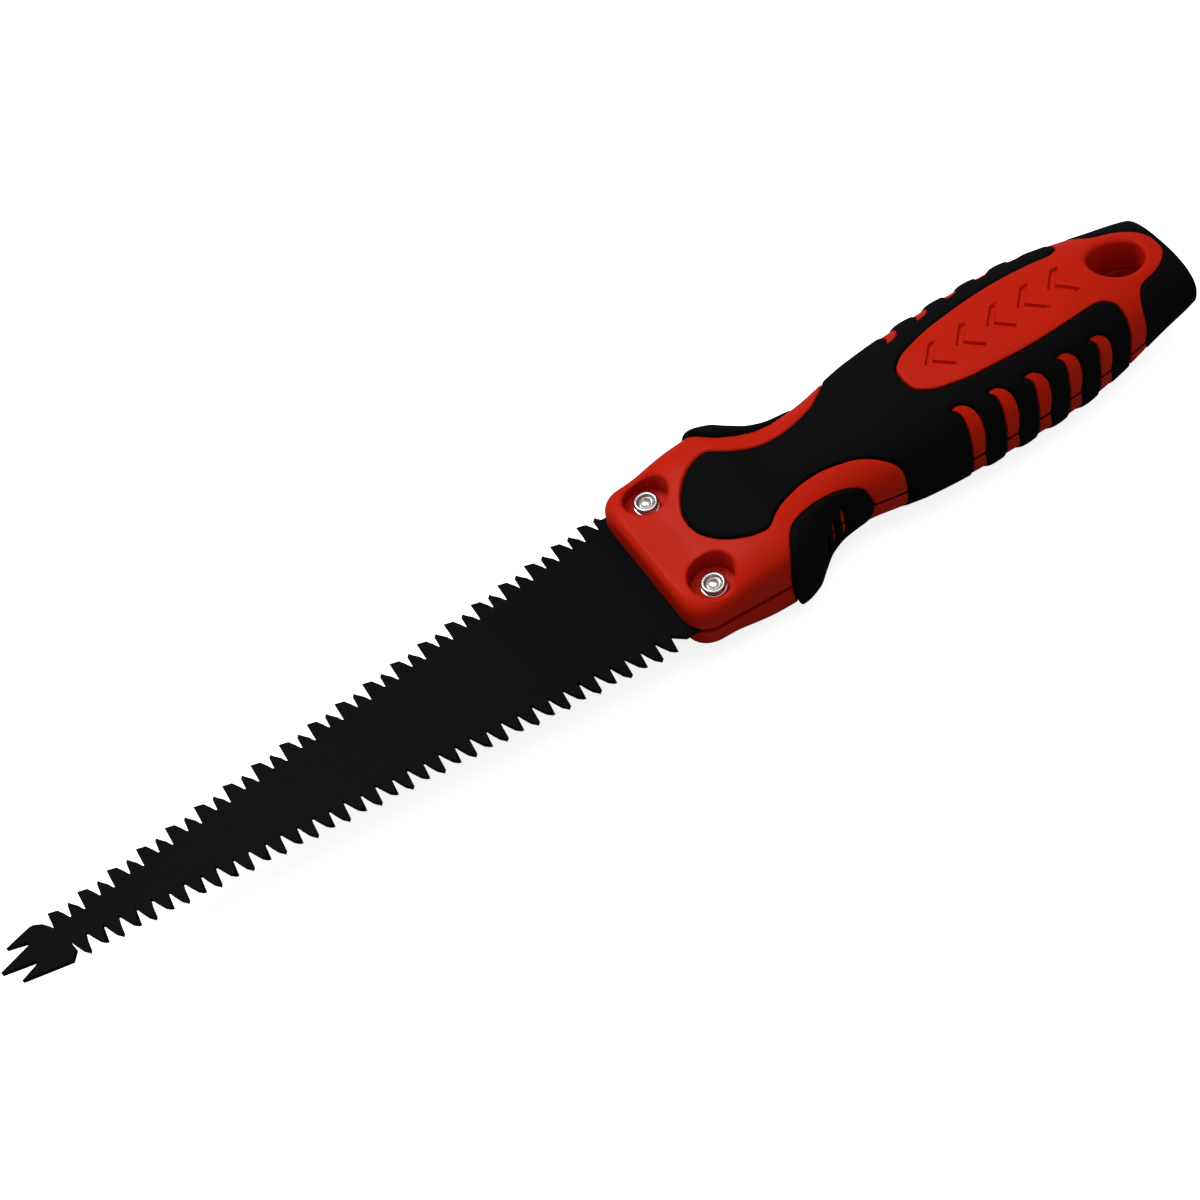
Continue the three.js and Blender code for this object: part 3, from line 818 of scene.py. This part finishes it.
def bore_floor_rings(side):
    """The floors of the two counterbores, each a ring round the rivet's shank."""
    hole, under, wall = 2.0, 0.95, BORE_R + 0.02
    profile = [(hole, under), (hole, BORE_FLOOR), (BORE_R - 0.5, BORE_FLOOR),
               (BORE_R - 0.15, BORE_FLOOR + 0.15), (wall, BORE_FLOOR + 0.5), (wall, under)]
    return [lathe(profile, 64, (RIVET_X, y, 0), side, closed=True) for y in (-RIVET_Y, RIVET_Y)]


class SAW_OT_core(bpy.types.Operator):
    """Add the two red core shells with their counterbores, hang hole and seam"""
    bl_idname = "saw.core"
    bl_label = "Core shells"

    def execute(self, context):
        settings = context.scene.saw_handle
        for name, side, node in (("core_upper", 1, "core_upper_shell"),
                                 ("core_lower", -1, "core_lower_shell")):
            shell = core_shell(settings, name, side)
            parts = [shell]
            for verts, faces in bore_floor_rings(side):
                parts.append(mesh_object(name + "_floor", in_frame(verts), faces))
            join(parts)
            finish_piece(shell, "core_red", node)
        return {"FINISHED"}


def join(parts):
    """Joins the meshes into the first object."""
    bm = bmesh.new()
    for part in parts:
        bm.from_mesh(part.data)
    bm.to_mesh(parts[0].data)
    bm.free()
    for part in parts[1:]:
        mesh = part.data
        bpy.data.objects.remove(part)
        bpy.data.meshes.remove(mesh)


def rib_bulge(settings, p):
    """Rise of the ribs, on the sides only and highest half way between the windows."""
    t = (p[:, 0] - CRESCENTS[0][0] - 0.6) / RIB_STEP
    begin, full = 36, 54  # degrees round at which the ribs begin and are full
    side = np.clip((p[:, 3] / DEGREE - begin) / (full - begin), 0, 1)
    between = (t > 0) & (t < len(CRESCENTS) - 1)
    return np.where(between, settings.bulge / MM * np.sin(math.pi * t) ** 2, 0) * side


def soft_net(rows, angles, wrap, field, gap, strips):
    """The net of a soft piece, cut along its outline and in strips along its rolled edge."""
    skin = Skin(rows, angles, wrap)
    for strip in strips:
        skin.split(field, gap + strip)
    skin.keep(field, gap)
    skin.used()
    return skin


def soft_solid(settings, name, skin, grow, drawn_in=0.0):
    """A soft piece: its outer face grown, and its inner face a layer below the plain skin."""
    outer = handle_points(skin.points[:, 0], skin.points[:, 1], grow)
    layer = np.full(len(grow), -settings.skin / MM)
    inner = handle_points(skin.points[:, 0], skin.points[:, 1], layer)
    inner[:, 0] -= drawn_in
    return solid_object(name, skin, outer, inner)


class SAW_OT_grip(bpy.types.Operator):
    """Add the soft black grip with its thumb pads, wrap and ribbed sides"""
    bl_idname = "saw.grip"
    bl_label = "Soft grip"

    def execute(self, context):
        settings = context.scene.saw_handle
        cell, gap = settings.cell / MM, settings.shadow_gap / MM
        edge = 0.8
        skin = soft_net(along(11, 118, cell), around(0, 2 * math.pi, cell)[:-1], True,
                        grip_field, gap, (0, 0.12, 0.35, edge))
        p = skin.base()
        grow = settings.proud / MM - roll(grip_field(p) - gap, edge) + rib_bulge(settings, p)
        grip = soft_solid(settings, "grip_sleeve", skin, grow)
        finish_piece(grip, "soft_black", "soft_grip")
        return {"FINISHED"}


class SAW_OT_guards(bpy.types.Operator):
    """Add the two finger guards at the neck"""
    bl_idname = "saw.guards"
    bl_label = "Finger guards"

    def execute(self, context):
        settings = context.scene.saw_handle
        gap = settings.shadow_gap / MM
        fine = settings.cell / MM * 0.7
        edge, reach = 0.6, math.radians(80)
        proud, level_from, level_to = 1.1, 36, 50  # stands proud, then sinks to the skin
        for name, middle, node in (("guard_far", 0.0, "finger_guard_far"),
                                   ("guard_near", math.pi, "finger_guard_near")):
            skin = soft_net(along(23, 50.2, fine), around(middle - reach, middle + reach, fine),
                            False, guard_field, gap, (0, 0.08, 0.25, edge))
            p = skin.base()
            share = np.clip((level_to - p[:, 0]) / (level_to - level_from), 0, 1)
            grow = proud * share - roll(guard_field(p) - gap, edge)
            guard = soft_solid(settings, name, skin, grow)
            finish_piece(guard, "soft_black", node)
        return {"FINISHED"}


class SAW_OT_cap(bpy.types.Operator):
    """Add the soft cap over the handle's tail"""
    bl_idname = "saw.cap"
    bl_label = "Tail cap"

    def execute(self, context):
        settings = context.scene.saw_handle
        cell, gap = settings.cell / MM, settings.shadow_gap / MM
        edge, proud, fine_from = 0.7, 0.1, 136
        rows = along(120, fine_from, cell) + along(fine_from, HANDLE_LENGTH, 0.25)[1:]
        skin = soft_net(rows + end_rows(11), around(0, 2 * math.pi, cell)[:-1], True,
                        cap_field, gap, (0, 0.12, 0.35, edge))
        grow = proud - roll(cap_field(skin.base()) - gap, edge)
        # the inner face is drawn in from the end, so the end face has the layer's thickness
        depth = np.clip((skin.points[:, 0] - fine_from) / (HANDLE_LENGTH - fine_from), 0, 1)
        cap = soft_solid(settings, "cap_skin", skin, grow, settings.skin / MM * depth)
        finish_piece(cap, "soft_black", "tail_cap")
        return {"FINISHED"}


# -------- rivets
def pair_tree(name):
    """A tree that sets a turned part at two places and gives it its finish."""
    tree = bpy.data.node_groups.new(name, "GeometryNodeTree")
    face = tree.interface
    face.new_socket("Part", in_out="INPUT", socket_type="NodeSocketObject")
    face.new_socket("First place", in_out="INPUT", socket_type="NodeSocketVector")
    face.new_socket("Step", in_out="INPUT", socket_type="NodeSocketVector")
    face.new_socket("Finish", in_out="INPUT", socket_type="NodeSocketMaterial")
    face.new_socket("Geometry", in_out="OUTPUT", socket_type="NodeSocketGeometry")
    given = add_node(tree, "NodeGroupInput").outputs
    line = add_node(tree, "GeometryNodeMeshLine", {
        "Count": 2, "Start Location": given["First place"], "Offset": given["Step"]}, mode="OFFSET")
    part = add_node(tree, "GeometryNodeObjectInfo", {"Object": given["Part"]})
    copies = add_node(tree, "GeometryNodeInstanceOnPoints", {
        "Points": line.outputs["Mesh"], "Instance": part.outputs["Geometry"]})
    real = add_node(tree, "GeometryNodeRealizeInstances", {"Geometry": copies.outputs["Instances"]})
    finish = add_node(tree, "GeometryNodeSetMaterial", {
        "Geometry": real.outputs["Geometry"], "Material": given["Finish"]})
    add_node(tree, "NodeGroupOutput", {"Geometry": finish.outputs["Geometry"]})
    return tree


def set_pair(context, name, part, kind, nodes):
    """Places a turned part at both rivet holes and leaves one plain mesh."""
    tree = pair_tree(name + "_pair")
    host = bpy.data.objects.new(name, bpy.data.meshes.new(name))
    context.scene.collection.objects.link(host)
    modifier = host.modifiers.new("pair", "NODES")
    modifier.node_group = tree
    first = in_frame([(RIVET_X, -RIVET_Y, 0)])[0]
    given = {"Part": part, "First place": first, "Step": (0, 2 * RIVET_Y * MM, 0),
             "Finish": material_for(kind)}
    for item in tree.interface.items_tree:
        if item.in_out == "INPUT":
            value = given[item.name]
            modifier[item.identifier] = value if isinstance(value, bpy.types.ID) else tuple(value)
    context.view_layer.update()
    ready = host.evaluated_get(context.evaluated_depsgraph_get())
    mesh = bpy.data.meshes.new_from_object(ready)
    host.modifiers.remove(modifier)
    host.data = mesh
    for polygon in mesh.polygons:
        polygon.use_smooth = True
    mesh.set_sharp_from_angle(angle=math.radians(40))
    bpy.data.objects.remove(part)
    finish_piece(host, kind, *nodes)


class SAW_OT_fasteners(bpy.types.Operator):
    """Add the two tubular rivets and their washers"""
    bl_idname = "saw.fasteners"
    bl_label = "Rivets and washers"

    def execute(self, context):
        low, high = -BORE_FLOOR - 0.25, BORE_FLOOR + 0.8  # where the two heads begin
        shank, steps = 1.5, 72
        head, head_high = 3.2, 1.5  # the plain head below
        rim_middle, rim_r = 2.25, 0.55  # the rolled rim above, round a button
        button_r, button_high = 1.3, 0.5
        dome = [(head * math.sin(a), low - head_high * math.cos(a))
                for a in np.linspace(0.02, 1.35, 12)]
        rim = [(rim_middle + rim_r * math.cos(a), high + 0.8 + rim_r * math.sin(a))
               for a in np.linspace(-0.5, 2.7, 16)]
        button = [(button_r * math.cos(a), high + 0.55 + button_high * math.sin(a))
                  for a in np.linspace(0, math.pi / 2, 9)]
        profile = ([(0.0, low - head_high)] + dome + [(head, low), (shank, low), (shank, high)]
                   + [(2.5, high)] + rim + [(1.55, high + 0.7), (1.42, high + 0.5)] + button)
        verts, faces = lathe(profile, steps)
        rivet = mesh_object("rivet_pattern", np.array(verts) * MM, faces, 0.01)
        set_pair(context, "rivets", rivet, "rivet_steel", ("rivet_near", "rivet_far"))
        low, high = BORE_FLOOR + 0.05, BORE_FLOOR + 0.75
        hole, outside = 1.6, 3.0
        ring = [(hole, low), (hole, high - 0.1), (hole + 0.1, high), (outside - 0.2, high),
                (outside - 0.05, high - 0.08), (outside, high - 0.2), (outside, low + 0.1),
                (outside - 0.1, low)]
        verts, faces = lathe(ring, steps, closed=True)
        washer = mesh_object("washer_pattern", np.array(verts) * MM, faces, 0.01)
        set_pair(context, "washers", washer, "rivet_steel", ("washer_near", "washer_far"))
        return {"FINISHED"}


# -------- stage
class SAW_OT_stage(bpy.types.Operator):
    """Add the pale floor, the soft lights and the camera"""
    bl_idname = "saw.stage"
    bl_label = "Stage"

    def execute(self, context):
        scene = context.scene
        low = -0.05 * MM  # just clear of the flat panel that the saw lies on
        far = 3.0  # half of the floor's side
        corners = [(-far, -far, low), (far, -far, low), (far, far, low), (-far, far, low)]
        mesh = bpy.data.meshes.new("floor")
        mesh.from_pydata(corners, [], [[0, 1, 2, 3]])
        floor = bpy.data.objects.new("floor", mesh)
        scene.collection.objects.link(floor)
        mesh.materials.append(light_table())
        scene.world = studio_world()
        target = Vector((0.06, 0, 0.012))  # in the handle, ahead of its middle
        for name, place, size, power in (
                ("key", (-0.1, 0.45, 0.8), 0.35, 4.4),
                ("top", (0.15, 0.1, 1.0), 0.8, 3.0)):
            lamp = bpy.data.lights.new(name, "AREA")
            lamp.size = size
            lamp.energy = power
            obj = bpy.data.objects.new(name, lamp)
            obj.location = place
            obj.rotation_euler = (target - obj.location).to_track_quat("-Z", "Y").to_euler()
            scene.collection.objects.link(obj)
        scene.view_settings.view_transform = "Standard"
        place_camera(scene)
        return {"FINISHED"}


def light_table():
    """Translucent white table: glows a little to the camera, and bounces little light back."""
    material, tree, _, shader = new_material("acrylic_opal_white")
    path = add_node(tree, "ShaderNodeLightPath")
    tone = add_node(tree, "ShaderNodeMix", {
        0: path.outputs["Is Camera Ray"], 6: linear("8C8C8C"), 7: linear("FAFAFA")},
        data_type="RGBA")
    glow = add_node(tree, "ShaderNodeMapRange", {
        "Value": path.outputs["Is Camera Ray"], "To Min": 0.0, "To Max": 0.8})
    tree.links.new(tone.outputs[2], shader.inputs["Base Color"])
    tree.links.new(glow.outputs[0], shader.inputs["Emission Strength"])
    shader.inputs["Emission Color"].default_value = (1, 1, 1, 1)
    shader.inputs["Roughness"].default_value = 0.9
    return material


def studio_world():
    """A white surround that lights the saw more softly than it looks to the camera."""
    world = bpy.data.worlds.new("studio")
    world.use_nodes = True
    tree = world.node_tree
    tree.nodes.clear()
    path = add_node(tree, "ShaderNodeLightPath")
    strength = add_node(tree, "ShaderNodeMapRange", {
        "Value": path.outputs["Is Camera Ray"], "To Min": 0.32, "To Max": 1.0})
    light = add_node(tree, "ShaderNodeBackground", {
        "Color": (1, 1, 1, 1), "Strength": strength.outputs[0]})
    add_node(tree, "ShaderNodeOutputWorld", {"Surface": light.outputs[0]})
    return world


def place_camera(scene):
    """A hand-held view from the near side: high, swung toward the tip and rolled."""
    elevation, swing, tilt = (math.radians(a) for a in (55.09, 17.88, -16.81))
    pair = scene.saw_blade.tooth_pair / MM
    look = np.array([0, math.cos(elevation), -math.sin(elevation)])
    right = np.array([1.0, 0, 0])
    up = np.cross(right, look)
    axes = np.array([right, -up, look])
    cr, sr = math.cos(tilt), math.sin(tilt)
    ct, st = math.cos(swing), math.sin(swing)
    rolled = np.array([[cr, -sr, 0], [sr, cr, 0], [0, 0, 1]]) @ axes
    axes = rolled @ np.array([[ct, -st, 0], [st, ct, 0], [0, 0, 1]])
    # its place in tooth pairs from the middle of the head's front face
    place = in_frame([(-13.32 * pair, -36.34 * pair, 55.0 * pair)])[0]
    matrix = Matrix([[axes[0][i], -axes[1][i], -axes[2][i], place[i]] for i in range(3)]
                    + [[0, 0, 0, 1]])
    data = bpy.data.cameras.new("camera")
    data.sensor_width = 36
    data.lens = 68.3
    data.clip_start = 0.01
    camera = bpy.data.objects.new("camera", data)
    camera.matrix_world = matrix
    scene.collection.objects.link(camera)
    scene.camera = camera


# -------- add-on
OPERATORS = (SAW_OT_stage, SAW_OT_blade, SAW_OT_core, SAW_OT_grip, SAW_OT_guards, SAW_OT_cap,
             SAW_OT_fasteners)


class SAW_PT_panel(bpy.types.Panel):
    bl_idname = "SAW_PT_panel"
    bl_label = "Drywall saw"
    bl_space_type = "VIEW_3D"
    bl_region_type = "UI"
    bl_category = "Saw"

    def draw(self, context):
        for group in (context.scene.saw_blade, context.scene.saw_handle, context.scene.saw_colours):
            box = self.layout.box()
            for key in group.__annotations__:
                box.prop(group, key)
        for operator in OPERATORS:
            self.layout.operator(operator.bl_idname)


GROUPS = (("saw_blade", SawBladeSettings), ("saw_handle", SawHandleSettings),
          ("saw_colours", SawColours))


def register():
    for name, group in GROUPS:
        bpy.utils.register_class(group)
        setattr(bpy.types.Scene, name, bpy.props.PointerProperty(type=group))
    for cls in OPERATORS + (SAW_PT_panel,):
        bpy.utils.register_class(cls)


def unregister():
    for cls in (SAW_PT_panel,) + OPERATORS[::-1]:
        bpy.utils.unregister_class(cls)
    for name, group in GROUPS[::-1]:
        delattr(bpy.types.Scene, name)
        bpy.utils.unregister_class(group)


def main():
    register()
    for operator in OPERATORS:
        group, name = operator.bl_idname.split(".")
        getattr(getattr(bpy.ops, group), name)()


if __name__ == "__main__":
    main()
